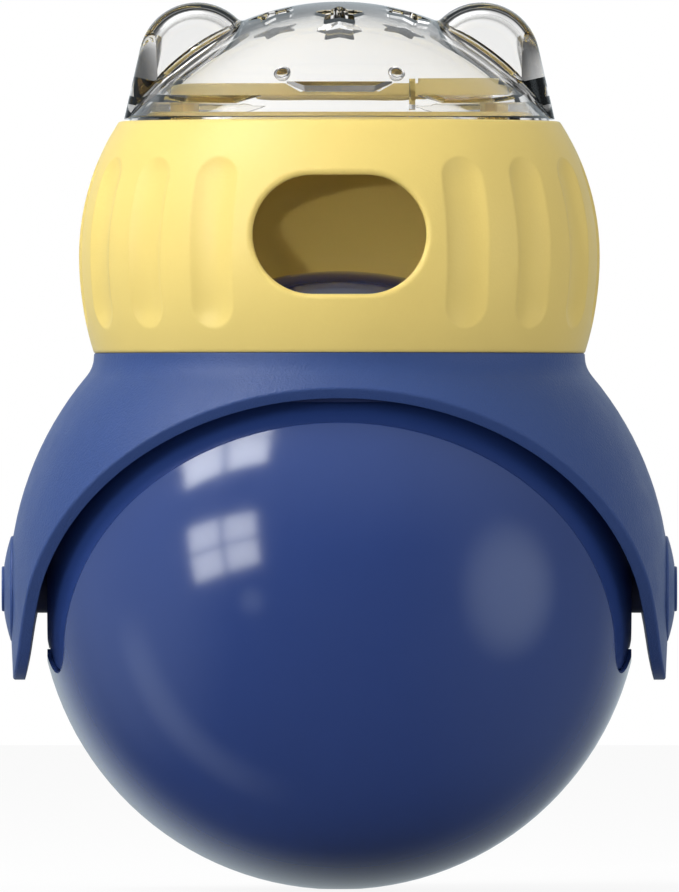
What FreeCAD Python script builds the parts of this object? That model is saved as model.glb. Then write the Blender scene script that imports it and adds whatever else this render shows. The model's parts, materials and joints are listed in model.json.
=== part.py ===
"""Treat-dispensing tumbler: a weighted ball, and a head that tilts on it.

The head is a blue hood, a yellow barrel with a window and a clear lid with ears.
Lengths are in millimetres. Every piece is drawn round the centre of the ball,
with +X along the pivot, -Y towards the front and +Z up, and is lifted at the end
so that the ball stands on z = 0.
"""
import FreeCAD, Part
import math
import os

Vec = FreeCAD.Vector

# Ball
BALL_RADIUS = 40.0
BALL_WALL = 2.4
FOOT_RADIUS = 3.0
BOWL_EDGE_ROUND = 0.3
CHEEK_DEPTH = 1.2

# Saddle-shaped upper shell of the ball
CAP_STEP = 0.6
CAP_WALL = 1.8
CAP_SLOPE_ANGLE = 57.5
CAP_REACH = 15.9
LOBE_RADIUS = 6.1
LOBE_SHIFT = 0.7
BRIDGE_DROP = 8.0
CAP_GAP = 0.15
LEDGE_WIDTH = 2.0
LEDGE_THICK = 1.55

# Screws between the two shells of the ball
BALL_SCREW_X = 13.0
BALL_SCREW_INSET = 7.2
BALL_SCREW_SEAT = 0.8
BALL_SCREW_LENGTH = 6.0
SMALL_SHANK_RADIUS = 1.1
SMALL_HEAD_RADIUS = 2.1
SMALL_HEAD_HEIGHT = 0.8
SMALL_BOSS_RADIUS = 2.6
BALL_LUG_HALF_WIDTH = 4.0
BALL_LUG_MARGIN = 0.75

# Ballast
BALLAST_GAP = 0.2
BALLAST_HEIGHT = 13.6
BALLAST_POST_RADIUS = 3.0
RETAINER_RADIUS = 12.0
RETAINER_THICK = 1.5
BALLAST_SCREW_RADIUS = 1.4
BALLAST_SCREW_LENGTH = 10.0
BALLAST_HEAD_RADIUS = 2.8
BALLAST_HEAD_HEIGHT = 1.8

# Hood
HOOD_GAP = 2.37
HOOD_WALL = 1.57
HOOD_FRONT_DROP = 5.96
HOOD_RIM_ROUND = 0.35
ARM_LUG_RADIUS = 12.1
ARM_DRAFT_ANGLE = 2.62
NECK_INSET = 11.29
NECK_WALL = 2.0
NECK_HEIGHT = 1.95
NECK_BLEND = 4.0

# Pivot
SWING_ANGLE = 40.0
HUB_RADIUS = 7.2
HUB_LENGTH = 5.8
JOURNAL_RADIUS = 2.6
COLLAR_RADIUS = 3.2
KEY_RADIUS = 4.2
KEY_FLAT = 3.25
KEY_PROUD = 0.4
FLANGE_RADIUS = 5.2
FLANGE_THICK = 0.7
RUNNING_GAP = 0.05
SLIP_GAP = 0.1
FRICTION_WASHER_THICK = 0.8
STOP_WASHER_THICK = 1.0
WASHER_RADIUS = 5.4
STOP_TAB_HALF_WIDTH = 1.2
STOP_RING_WALL = 1.3
STOP_RING_DEPTH = 2.0
STOP_MARGIN_ANGLE = 0.5
JOURNAL_FLAT = 1.9
AXLE_SCREW_RADIUS = 1.2
AXLE_SCREW_LENGTH = 5.8
AXLE_HEAD_RADIUS = 2.8
AXLE_HEAD_HEIGHT = 1.6

# Round covers on the arms
PIVOT_CAP_RADIUS = 7.05
PIVOT_CAP_CROWN = 1.15
PIVOT_CAP_PROUD = 0.96
PIVOT_CAP_RIM = 1.45
PIVOT_CAP_ROUND = 0.35
PIVOT_FLOOR_WALL = 0.73
BUTTON_RADIUS = 3.0
BUTTON_PROUD = 0.1
BUTTON_GROOVE_WIDTH = 0.3
BUTTON_GROOVE_DEPTH = 0.25

# Domed floor of the treat chamber
DECK_GAP = 0.12
DECK_WALL = 1.45
DECK_OVERLAP = 1.75
DECK_SCREW_INSET = 3.1
DECK_PAD_RADIUS = 2.9
DECK_PAD_RISE = 1.39
DECK_SCREW_BED = 1.9
DECK_SCREW_LENGTH = 5.2
DECK_SCREW_COUNT = 3

# Barrel
BELLY_BULGE = 2.0
BELLY_RISE = 12.94
SHOULDER_INSET = 3.35
BARREL_HEIGHT = 30.79
BARREL_WALL = 1.8
SPIGOT_WALL = 1.8
SPIGOT_GAP = 0.15
BARREL_BOSS_HEIGHT = 3.6
BARREL_WEB_HALF_WIDTH = 1.3
SHOULDER_ROUND = 0.5
SEAM_ROUND = 0.3

# Flutes round the barrel, from one side of the window to the other
FLUTE_COUNT = 17
FLUTE_FIRST_ANGLE = 29.52
FLUTE_LOW_RISE = 3.14
FLUTE_TOP_INSET = 4.55
FLUTE_DEPTH = 0.9
FLUTE_WIDTH = 7.0

# Window
WINDOW_WIDTH = 22.9
WINDOW_HEIGHT = 15.7
WINDOW_LIFT = 0.12
WINDOW_ROUND = 0.6

# Open neck on top of the barrel
LIP_INSET = 3.4
LIP_WIDTH = 3.4
LIP_HEIGHT = 0.6
MOUTH_WALL = 1.7
MOUTH_HEIGHT = 4.3
MOUTH_SLOT_HEIGHT = 2.1
MOUTH_SLOT_HALF_ANGLE = 66.0
MOUTH_STEP_HEIGHT = 0.6
MOUTH_BACK_SLOT_RISE = 0.8
NOTCH_TOP_WIDTH = 14.1
NOTCH_LOW_WIDTH = 9.4
NOTCH_DEPTH = 1.3

# Lid
LID_INSET = 0.9
LID_HEIGHT = 15.65
LID_WALL = 1.6
LID_SEAM = 0.3
LID_SEAM_DEPTH = 0.5
LID_GAP = 0.25
LID_LUG_RISE = 0.2
LID_RIB_X = 9.4
LID_RIB_THICK = 0.8
LID_LEDGE_THICK = 0.95
LID_LEDGE_OPEN_LOW = 26.8
LID_LEDGE_OPEN_TOP = 20.2
LID_PIP_X = 7.4
LID_PIP_RISE = 1.35
LID_PIP_RADIUS = 1.1

# Ears of the lid
EAR_RADIUS = 7.75
EAR_CENTRE_INSET = 9.5
EAR_FOOT_PROUD = 0.2
EAR_HALF_DEPTH = 6.2
EAR_ROUND = 3.6
EAR_WALL = 1.5
EAR_POCKET_INSET = 4.3
EAR_POCKET_RISE = 4.95
EAR_BLEND = 0.9

# Star holes
STAR_COUNT = 6
STAR_RING_RADIUS = 10.4
STAR_RADIUS = 3.57
STAR_WAIST_RADIUS = 1.95
STAR_TIP_ROUND = 0.3

# How near a point must lie to a face or an edge to count as on it
ON_IT = 0.02

# Ball and hood, from the sizes above
FLOOR_Z = -math.sqrt(BALL_RADIUS ** 2 - FOOT_RADIUS ** 2)
CHEEK_X = BALL_RADIUS - CHEEK_DEPTH
BOWL_INNER = BALL_RADIUS - BALL_WALL
CAP_OUTER = BALL_RADIUS - CAP_STEP
CAP_INNER = CAP_OUTER - CAP_WALL
LEDGE_TOP = CAP_INNER - CAP_GAP
LEDGE_LOW = LEDGE_TOP - LEDGE_THICK
BALLAST_TOP_Z = BALLAST_HEIGHT - BOWL_INNER
RETAINER_TOP_Z = BALLAST_TOP_Z + RETAINER_THICK
HOOD_INNER = BALL_RADIUS + HOOD_GAP
HOOD_RADIUS = HOOD_INNER + HOOD_WALL
NECK_RADIUS = HOOD_RADIUS - NECK_INSET
NECK_BORE = NECK_RADIUS - NECK_WALL
NECK_FOOT_Z = math.sqrt(HOOD_RADIUS ** 2 - NECK_RADIUS ** 2)
NECK_TOP_Z = NECK_FOOT_Z + NECK_HEIGHT
FAR = 2.0 * HOOD_RADIUS

# Pivot
HUB_INNER_X = CHEEK_X - HUB_LENGTH
STOP_WASHER_X = HUB_INNER_X - FRICTION_WASHER_THICK
AXLE_SEAT_X = STOP_WASHER_X - STOP_WASHER_THICK
PIVOT_FLOOR_X = HOOD_INNER + PIVOT_FLOOR_WALL
PIVOT_CAP_TIP_X = HOOD_RADIUS + PIVOT_CAP_PROUD

# Deck and barrel
DECK_OUTER = HOOD_INNER - DECK_GAP
DECK_INNER = DECK_OUTER - DECK_WALL
DECK_RADIUS = NECK_BORE + DECK_OVERLAP
SPIGOT_OUTER = NECK_BORE - SPIGOT_GAP
SPIGOT_INNER = SPIGOT_OUTER - SPIGOT_WALL
DECK_SCREW_RING = SPIGOT_INNER - DECK_SCREW_INSET
DECK_PAD_TOP = math.sqrt(DECK_OUTER ** 2 - DECK_SCREW_RING ** 2) + DECK_PAD_RISE
BELLY_RADIUS = NECK_RADIUS + BELLY_BULGE
BELLY_Z = NECK_TOP_Z + BELLY_RISE
SHOULDER_RADIUS = NECK_RADIUS - SHOULDER_INSET
SHOULDER_Z = NECK_TOP_Z + BARREL_HEIGHT
WINDOW_Z = (NECK_TOP_Z + SHOULDER_Z) / 2 + WINDOW_LIFT
FLUTE_LOW_Z = NECK_TOP_Z + FLUTE_LOW_RISE
FLUTE_HIGH_Z = SHOULDER_Z - FLUTE_TOP_INSET
FLUTE_PITCH = (360.0 - 2 * FLUTE_FIRST_ANGLE) / (FLUTE_COUNT - 1)
LIP_RADIUS = SHOULDER_RADIUS - LIP_INSET
LIP_TOP_Z = SHOULDER_Z + LIP_HEIGHT
SLOT_TOP_Z = LIP_TOP_Z + MOUTH_SLOT_HEIGHT
MOUTH_OUTER = LIP_RADIUS - LIP_WIDTH
MOUTH_RADIUS = MOUTH_OUTER - MOUTH_WALL
MOUTH_TOP_Z = SHOULDER_Z + MOUTH_HEIGHT

# Lid, a part of a hollow ball
LID_RADIUS = SHOULDER_RADIUS - LID_INSET
LID_RIM_Z = SHOULDER_Z + LID_SEAM
LID_OUTER = (LID_RADIUS ** 2 + LID_HEIGHT ** 2) / (2 * LID_HEIGHT)
LID_INNER = LID_OUTER - LID_WALL
LID_CENTRE_Z = LID_RIM_Z + LID_HEIGHT - LID_OUTER
LID_RUN_RADIUS = MOUTH_OUTER + LID_GAP
EAR_CENTRE_X = LID_RADIUS - EAR_CENTRE_INSET
EAR_CENTRE_Z = LID_RIM_Z + EAR_RADIUS


def ball(radius):
    """Solid ball round the pivot centre."""
    return Part.makeSphere(radius)


def rod(radius, x_start, x_end):
    """Cylinder along the pivot axis."""
    return Part.makeCylinder(radius, x_end - x_start, Vec(x_start, 0, 0), Vec(1, 0, 0))


def post(radius, z_start, z_end, x=0.0, y=0.0):
    """Upright cylinder."""
    return Part.makeCylinder(radius, z_end - z_start, Vec(x, y, z_start))


def slab(x_start, x_end, y_start, y_end, z_start, z_end):
    """Box between two opposite corners."""
    corner = Vec(x_start, y_start, z_start)
    return Part.makeBox(x_end - x_start, y_end - y_start, z_end - z_start, corner)


def line(start, end):
    return Part.LineSegment(start, end).toShape()


def arc(start, middle, end):
    return Part.Arc(start, middle, end).toShape()


def side_view_prism(edges):
    """Solid whose outline, seen along the pivot axis, is the given closed loop."""
    face = Part.Face(Part.Wire(edges))
    prism = face.extrude(Vec(2.0 * FAR, 0, 0))
    prism.translate(Vec(-FAR, 0, 0))
    return prism


def turned(edges, axis=Vec(0, 0, 1)):
    """Solid of revolution of a closed loop about an axis through the pivot centre."""
    return Part.Face(Part.Wire(edges)).revolve(Vec(0, 0, 0), axis, 360)


def closed_lines(points):
    """Straight edges round a closed outline."""
    return [line(a, b) for a, b in zip(points, points[1:] + points[:1])]


def mirrored(shape):
    """The same piece on the other side of the object."""
    return shape.mirror(Vec(0, 0, 0), Vec(1, 0, 0))


def edges_where(shape, wanted):
    """Edges whose every sampled point passes the test."""
    found = []
    for edge in shape.Edges:
        first, last = edge.ParameterRange
        samples = [edge.valueAt(first + (last - first) * t) for t in (0.05, 0.5, 0.95)]
        if all(wanted(p) for p in samples):
            found.append(edge)
    return found


def radial_distance(point):
    return math.hypot(point.x, point.y)


def arc_points(start, end, radius, centre):
    """Start, middle and end of the shorter arc from start to end round a centre."""
    half_way = (start + end) * 0.5 - centre
    half_way.normalize()
    return start, centre + half_way * radius, end


def flare(reach, slope, corner):
    """Points of a V that opens upwards: its two feet and its two tops, seen from the side.

    The sides rise at the slope from the horizontal and pass the pivot at the reach.
    The corner gives a foot, as (outward, along) from the pivot.
    """
    along = Vec(0, math.cos(math.radians(slope)), math.sin(math.radians(slope)))
    outward = Vec(0, along.z, -along.y)
    foot = outward * corner[0] + along * corner[1]
    start = outward * reach + along * corner[1]
    return foot, start, start + along * FAR


def flip_y(point):
    return Vec(point.x, -point.y, point.z)


def saddle_prism(grow):
    """Side outline of the ball's upper shell, grown outwards by some distance."""
    centre, foot, top = flare(CAP_REACH + grow, CAP_SLOPE_ANGLE, (CAP_REACH - LOBE_RADIUS, LOBE_SHIFT))
    lobe = LOBE_RADIUS + grow
    bridge_z = -BRIDGE_DROP - grow
    inner = Vec(0, centre.y - math.sqrt(lobe ** 2 - (centre.z - bridge_z) ** 2), bridge_z)
    lowest = centre - Vec(0, 0, lobe)
    return side_view_prism([
        line(foot, top),
        line(top, flip_y(top)),
        line(flip_y(top), flip_y(foot)),
        arc(flip_y(foot), flip_y(lowest), flip_y(inner)),
        line(flip_y(inner), inner),
        arc(inner, lowest, foot),
    ])


def edge_band(outside, inside):
    """Band beside the sloping edges of the saddle, from outside it to inside it."""
    prisms = []
    for shift in (outside, -inside):
        _, foot, top = flare(CAP_REACH + shift, CAP_SLOPE_ANGLE, (0.0, 0.0))
        prisms.append(side_view_prism(closed_lines([foot, top, flip_y(top), flip_y(foot)])))
    return prisms[0].cut(prisms[1])


def ball_screw_directions():
    """Unit vectors from the ball's centre through its four small screws."""
    spread = math.sqrt(CAP_OUTER ** 2 - BALL_SCREW_X ** 2)
    outward = (CAP_REACH - BALL_SCREW_INSET) / spread
    tilt = math.pi / 2 + math.asin(outward) - math.radians(CAP_SLOPE_ANGLE)
    for x in (-BALL_SCREW_X, BALL_SCREW_X):
        for side in (-1.0, 1.0):
            point = Vec(x, side * spread * math.sin(tilt), spread * math.cos(tilt))
            yield point * (1.0 / CAP_OUTER)


def radial_rod(direction, radius, start, end):
    """Cylinder along a direction from the ball's centre."""
    return Part.makeCylinder(radius, end - start, direction * start, direction)


def cut_cheeks(shape):
    """Trim a piece of the ball flat at both ends of the pivot."""
    return shape.common(slab(-CHEEK_X, CHEEK_X, -FAR, FAR, -FAR, FAR))


def make_ball_bowl():
    shell = ball(BALL_RADIUS).cut(ball(BOWL_INNER)).cut(saddle_prism(0.0))
    edge = edges_where(shell, lambda p: abs(p.Length - BALL_RADIUS) < ON_IT
                       and p.z > -BALL_RADIUS / 2 and abs(p.x) < BALL_RADIUS - BOWL_EDGE_ROUND)
    shell = shell.makeFillet(BOWL_EDGE_ROUND, edge)
    ledge_outside = ball(BOWL_INNER + BALL_WALL / 4).cut(ball(LEDGE_LOW))
    ledge_outside = ledge_outside.common(saddle_prism(LEDGE_WIDTH).cut(saddle_prism(0.0)))
    ledge_shell = ball(LEDGE_TOP).cut(ball(LEDGE_LOW))
    ledge_inside = ledge_shell.common(saddle_prism(CAP_GAP).cut(saddle_prism(-LEDGE_WIDTH)))
    lug_reach = BALL_SCREW_INSET + SMALL_BOSS_RADIUS + BALL_LUG_MARGIN
    lugs = ledge_shell.common(edge_band(CAP_GAP, lug_reach))
    lug_room = slab(BALL_SCREW_X - BALL_LUG_HALF_WIDTH, BALL_SCREW_X + BALL_LUG_HALF_WIDTH,
                    -FAR, FAR, 0, FAR)
    lugs = lugs.common(lug_room.fuse(mirrored(lug_room)))
    post_foot = -BALL_RADIUS + BALL_WALL / 2
    ballast_post = post(BALLAST_POST_RADIUS, post_foot, BALLAST_TOP_Z)
    bowl = shell.fuse([ledge_outside, ledge_inside, lugs, ballast_post])
    for direction in ball_screw_directions():
        boss_end = CAP_OUTER - BALL_SCREW_SEAT - BALL_SCREW_LENGTH - SMALL_SHANK_RADIUS
        bowl = bowl.fuse(radial_rod(direction, SMALL_BOSS_RADIUS, boss_end, LEDGE_TOP - CAP_GAP))
    for direction in ball_screw_directions():
        bore = radial_rod(direction, SMALL_SHANK_RADIUS + RUNNING_GAP, 0.0, CAP_OUTER)
        reach = CAP_OUTER - BALL_SCREW_SEAT - BALL_SCREW_LENGTH - RUNNING_GAP
        bowl = bowl.cut(bore.cut(ball(reach)))
    bowl = bowl.cut(post(BALLAST_SCREW_RADIUS + RUNNING_GAP,
                         ballast_screw_low() - RUNNING_GAP, BALLAST_TOP_Z))
    hub_room = rod(HUB_RADIUS + CAP_GAP, AXLE_SEAT_X - STOP_RING_DEPTH, FAR)
    hub_room = hub_room.fuse(mirrored(hub_room)).common(ball(BOWL_INNER))
    bowl = bowl.cut(hub_room)
    bowl = cut_cheeks(bowl)
    return bowl.common(slab(-FAR, FAR, -FAR, FAR, FLOOR_Z, FAR)).removeSplitter()


def stop_half_angle():
    """Half the opening of the stop ring: the swing and the tab's own width."""
    tab = math.degrees(math.asin(STOP_TAB_HALF_WIDTH / (HUB_RADIUS - STOP_RING_WALL)))
    return SWING_ANGLE + tab + STOP_MARGIN_ANGLE


def make_stop_ring():
    """Raised arc on the hub's inner end, open below where the tab swings."""
    start = HUB_INNER_X - STOP_RING_DEPTH
    ring = rod(HUB_RADIUS, start, HUB_INNER_X + CAP_GAP)
    ring = ring.cut(rod(HUB_RADIUS - STOP_RING_WALL, 0, FAR))
    angle = math.radians(stop_half_angle())
    wide = FAR * math.sin(angle)
    points = [Vec(-FAR, 0, 0), Vec(-FAR, wide, -FAR * math.cos(angle)), Vec(-FAR, wide, -FAR),
              Vec(-FAR, -wide, -FAR), Vec(-FAR, -wide, -FAR * math.cos(angle))]
    opening = Part.Face(Part.Wire(closed_lines(points))).extrude(Vec(2 * FAR, 0, 0))
    return ring.cut(opening)


def make_ball_cap():
    saddle = ball(CAP_OUTER).cut(ball(CAP_INNER)).common(saddle_prism(-CAP_GAP))
    hub = rod(HUB_RADIUS, HUB_INNER_X, CHEEK_X).common(ball(CAP_OUTER))
    stop = make_stop_ring()
    cap = saddle.fuse([hub, mirrored(hub), stop, mirrored(stop)])
    cap = cap.cut(rod(JOURNAL_RADIUS + RUNNING_GAP, -FAR, FAR))
    for direction in ball_screw_directions():
        seat = CAP_OUTER - BALL_SCREW_SEAT
        cap = cap.cut(radial_rod(direction, SMALL_HEAD_RADIUS + SLIP_GAP, seat, FAR))
        cap = cap.cut(radial_rod(direction, SMALL_SHANK_RADIUS + SLIP_GAP, LEDGE_LOW, BALL_RADIUS))
    return cut_cheeks(cap).removeSplitter()


def make_ball_screws():
    screws = []
    for direction in ball_screw_directions():
        seat = CAP_OUTER - BALL_SCREW_SEAT
        head = radial_rod(direction, SMALL_HEAD_RADIUS, seat, seat + SMALL_HEAD_HEIGHT)
        shank = radial_rod(direction, SMALL_SHANK_RADIUS, seat - BALL_SCREW_LENGTH, seat)
        recess = radial_rod(direction, SMALL_HEAD_RADIUS / 3, seat + SMALL_HEAD_HEIGHT / 2, BALL_RADIUS)
        screws.append(head.fuse(shank).cut(recess).removeSplitter())
    return Part.Compound(screws)


def ballast_screw_low():
    """Lowest point of the screw through the ballast's cover plate."""
    return RETAINER_TOP_Z - BALLAST_SCREW_LENGTH


def make_ballast():
    slug = ball(BOWL_INNER - BALLAST_GAP)
    slug = slug.common(slab(-FAR, FAR, -FAR, FAR, -FAR, BALLAST_TOP_Z))
    return slug.cut(post(BALLAST_POST_RADIUS + SLIP_GAP, -FAR, FAR))


def make_ballast_retainer():
    plate = post(RETAINER_RADIUS, BALLAST_TOP_Z, RETAINER_TOP_Z)
    return plate.cut(post(BALLAST_SCREW_RADIUS + SLIP_GAP, -FAR, FAR))


def make_ballast_screw():
    head = post(BALLAST_HEAD_RADIUS, RETAINER_TOP_Z, RETAINER_TOP_Z + BALLAST_HEAD_HEIGHT)
    shank = post(BALLAST_SCREW_RADIUS, ballast_screw_low(), RETAINER_TOP_Z)
    return head.fuse(shank).removeSplitter()


def key_prism(gap):
    """Flat-sided section that keys an axle in its arm."""
    half = KEY_FLAT + gap
    return slab(-FAR, FAR, -half, half, -FAR, FAR)


def hood_slope():
    """Slope of the hood's edges: they touch the lug and pass a set drop below the neck's foot."""
    z = NECK_FOOT_Z - HOOD_FRONT_DROP
    bearing = math.atan2(z, NECK_RADIUS)
    return math.degrees(bearing + math.asin(ARM_LUG_RADIUS / math.hypot(NECK_RADIUS, z)))


def hood_side_outline():
    """The hood seen from the side: a V with a round lug at its foot."""
    _, foot, top = flare(ARM_LUG_RADIUS, hood_slope(), (0.0, 0.0))
    lowest = Vec(0, 0, -ARM_LUG_RADIUS)
    return side_view_prism([
        line(foot, top),
        line(top, flip_y(top)),
        line(flip_y(top), flip_y(foot)),
        arc(flip_y(foot), lowest, foot),
    ])


def drafted_dome(radius):
    """Half ball that runs on downwards as a tapering skirt."""
    drop = 2 * ARM_LUG_RADIUS
    taper = drop * math.tan(math.radians(ARM_DRAFT_ANGLE))
    low = Vec(radius - taper, 0, -drop)
    start, middle, end = arc_points(Vec(radius, 0, 0), Vec(0, 0, radius), radius, Vec(0, 0, 0))
    return turned([line(Vec(0, 0, -drop), low), line(low, start),
                   arc(start, middle, end), line(end, Vec(0, 0, -drop))])


def circle_edges(shape, radius, z):
    """Edges that lie on an upright circle round the axis."""
    return edges_where(shape, lambda p: abs(p.z - z) < ON_IT
                       and abs(radial_distance(p) - radius) < ON_IT)


def make_hood():
    outer = drafted_dome(HOOD_RADIUS).fuse(post(NECK_RADIUS, 0.0, NECK_TOP_Z)).removeSplitter()
    outer = outer.cut(post(FAR, NECK_TOP_Z, FAR))
    outer = outer.makeFillet(NECK_BLEND, circle_edges(outer, NECK_RADIUS, NECK_FOOT_Z))
    hood = outer.cut(drafted_dome(HOOD_INNER)).cut(post(NECK_BORE, 0.0, FAR))
    hood = hood.common(hood_side_outline())
    rim = edges_where(hood, lambda p: abs(p.Length - HOOD_RADIUS) < ON_IT and p.z < NECK_TOP_Z
                      and abs(p.y) > ARM_LUG_RADIUS / 2)
    hood = hood.makeFillet(HOOD_RIM_ROUND, rim)
    hood = hood.makeFillet(SEAM_ROUND, circle_edges(hood, NECK_RADIUS, NECK_TOP_Z))
    bores = rod(PIVOT_CAP_RADIUS + SLIP_GAP, PIVOT_FLOOR_X, FAR)
    bores = bores.fuse(rod(KEY_RADIUS + RUNNING_GAP, 0, FAR).common(key_prism(RUNNING_GAP)))
    return hood.cut(bores).cut(mirrored(bores))


def make_pivot_axle():
    arm_inner_x = HOOD_INNER - KEY_PROUD
    flange = rod(FLANGE_RADIUS, PIVOT_FLOOR_X, PIVOT_FLOOR_X + FLANGE_THICK)
    key = rod(KEY_RADIUS, arm_inner_x, PIVOT_FLOOR_X).common(key_prism(0.0))
    collar = rod(COLLAR_RADIUS, CHEEK_X, PIVOT_FLOOR_X)
    journal = rod(JOURNAL_RADIUS, STOP_WASHER_X, CHEEK_X)
    end = rod(JOURNAL_RADIUS, AXLE_SEAT_X + SLIP_GAP, STOP_WASHER_X)
    end = end.common(slab(-FAR, FAR, -FAR, FAR, -JOURNAL_FLAT, JOURNAL_FLAT))
    axle = flange.fuse([key, collar, journal, end]).removeSplitter()
    return axle.cut(rod(AXLE_SCREW_RADIUS + RUNNING_GAP, 0, AXLE_SEAT_X + AXLE_SCREW_LENGTH + SLIP_GAP))


def make_friction_washer():
    disc = rod(WASHER_RADIUS, STOP_WASHER_X, HUB_INNER_X)
    return disc.cut(rod(JOURNAL_RADIUS + SLIP_GAP, 0, FAR))


def make_stop_washer():
    disc = rod(WASHER_RADIUS, AXLE_SEAT_X, STOP_WASHER_X)
    tab = slab(AXLE_SEAT_X, STOP_WASHER_X, -STOP_TAB_HALF_WIDTH, STOP_TAB_HALF_WIDTH,
               -HUB_RADIUS, -WASHER_RADIUS / 2)
    flat = JOURNAL_FLAT + RUNNING_GAP
    bore = rod(JOURNAL_RADIUS + RUNNING_GAP, 0, FAR).common(slab(-FAR, FAR, -FAR, FAR, -flat, flat))
    return disc.fuse(tab).removeSplitter().cut(bore)


def make_axle_screw():
    head = rod(AXLE_HEAD_RADIUS, AXLE_SEAT_X - AXLE_HEAD_HEIGHT, AXLE_SEAT_X)
    shank = rod(AXLE_SCREW_RADIUS, AXLE_SEAT_X, AXLE_SEAT_X + AXLE_SCREW_LENGTH)
    recess = rod(AXLE_HEAD_RADIUS / 3, 0, AXLE_SEAT_X - AXLE_HEAD_HEIGHT / 2)
    return head.fuse(shank).removeSplitter().cut(recess)


def make_pivot_cap():
    """Round cover: a shallow crown with a button that stands proud inside a fine groove."""
    crown = (PIVOT_CAP_RADIUS ** 2 + PIVOT_CAP_CROWN ** 2) / (2 * PIVOT_CAP_CROWN)
    centre_x = PIVOT_CAP_TIP_X - BUTTON_PROUD - crown

    def surface(radius):
        return Vec(centre_x + math.sqrt(crown ** 2 - radius ** 2), radius, 0)

    ceiling = PIVOT_FLOOR_X + FLANGE_THICK + RUNNING_GAP
    rim_inner = PIVOT_CAP_RADIUS - PIVOT_CAP_RIM
    points = [surface(PIVOT_CAP_RADIUS), Vec(PIVOT_FLOOR_X, PIVOT_CAP_RADIUS, 0),
              Vec(PIVOT_FLOOR_X, rim_inner, 0), Vec(ceiling, rim_inner, 0),
              Vec(ceiling, 0, 0), surface(0.0)]
    edges = [line(a, b) for a, b in zip(points, points[1:])]
    edges.append(arc(surface(0.0), surface(PIVOT_CAP_RADIUS / 2), surface(PIVOT_CAP_RADIUS)))
    cap = turned(edges, Vec(1, 0, 0))
    rim = edges_where(cap, lambda p: abs(p.x - points[0].x) < ON_IT
                      and abs(math.hypot(p.y, p.z) - PIVOT_CAP_RADIUS) < ON_IT)
    cap = cap.makeFillet(PIVOT_CAP_ROUND, rim)
    floor_x = surface(BUTTON_RADIUS).x - BUTTON_GROOVE_DEPTH
    cap = cap.cut(rod(BUTTON_RADIUS + BUTTON_GROOVE_WIDTH, floor_x, FAR))
    button = rod(BUTTON_RADIUS, ceiling, PIVOT_CAP_TIP_X)
    tip = edges_where(button, lambda p: abs(p.x - PIVOT_CAP_TIP_X) < ON_IT
                      and abs(math.hypot(p.y, p.z) - BUTTON_RADIUS) < ON_IT)
    return cap.fuse(button.makeFillet(PIVOT_CAP_ROUND / 2, tip)).removeSplitter()


def deck_screw_places():
    """Centres of the screws that clamp the deck, the first one at the back."""
    for index in range(DECK_SCREW_COUNT):
        angle = 2 * math.pi * index / DECK_SCREW_COUNT
        yield DECK_SCREW_RING * math.sin(angle), DECK_SCREW_RING * math.cos(angle)


def make_treat_deck():
    deck = ball(DECK_OUTER).common(post(DECK_RADIUS, 0.0, FAR))
    for x, y in deck_screw_places():
        deck = deck.fuse(post(DECK_PAD_RADIUS, DECK_PAD_TOP / 2, DECK_PAD_TOP, x, y))
    deck = deck.cut(ball(DECK_INNER))
    for x, y in deck_screw_places():
        deck = deck.cut(post(SMALL_HEAD_RADIUS + SLIP_GAP, 0.0, DECK_PAD_TOP - DECK_SCREW_BED, x, y))
        deck = deck.cut(post(SMALL_SHANK_RADIUS + SLIP_GAP, 0.0, FAR, x, y))
    return deck


def make_deck_screws():
    screws = []
    bed = DECK_PAD_TOP - DECK_SCREW_BED
    for x, y in deck_screw_places():
        head = post(SMALL_HEAD_RADIUS, bed - SMALL_HEAD_HEIGHT, bed, x, y)
        shank = post(SMALL_SHANK_RADIUS, bed, bed + DECK_SCREW_LENGTH, x, y)
        screws.append(head.fuse(shank).removeSplitter())
    return Part.Compound(screws)


def barrel_arc(end_radius, end_z):
    """Radius and centre of the wall's arc from the belly to one end, upright at the belly."""
    rise = end_z - BELLY_Z
    inset = BELLY_RADIUS - end_radius
    radius = (rise ** 2 + inset ** 2) / (2 * inset)
    return radius, BELLY_RADIUS - radius


def barrel_radius_at(z, wall=0.0):
    """Radius of the barrel's wall at a height, a given depth below its outside."""
    if z < BELLY_Z:
        radius, centre = barrel_arc(NECK_RADIUS, NECK_TOP_Z)
    else:
        radius, centre = barrel_arc(SHOULDER_RADIUS, SHOULDER_Z)
    return centre + math.sqrt((radius - wall) ** 2 - (z - BELLY_Z) ** 2)


def barrel_point(z, wall=0.0):
    return Vec(barrel_radius_at(z, wall), 0, z)


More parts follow.
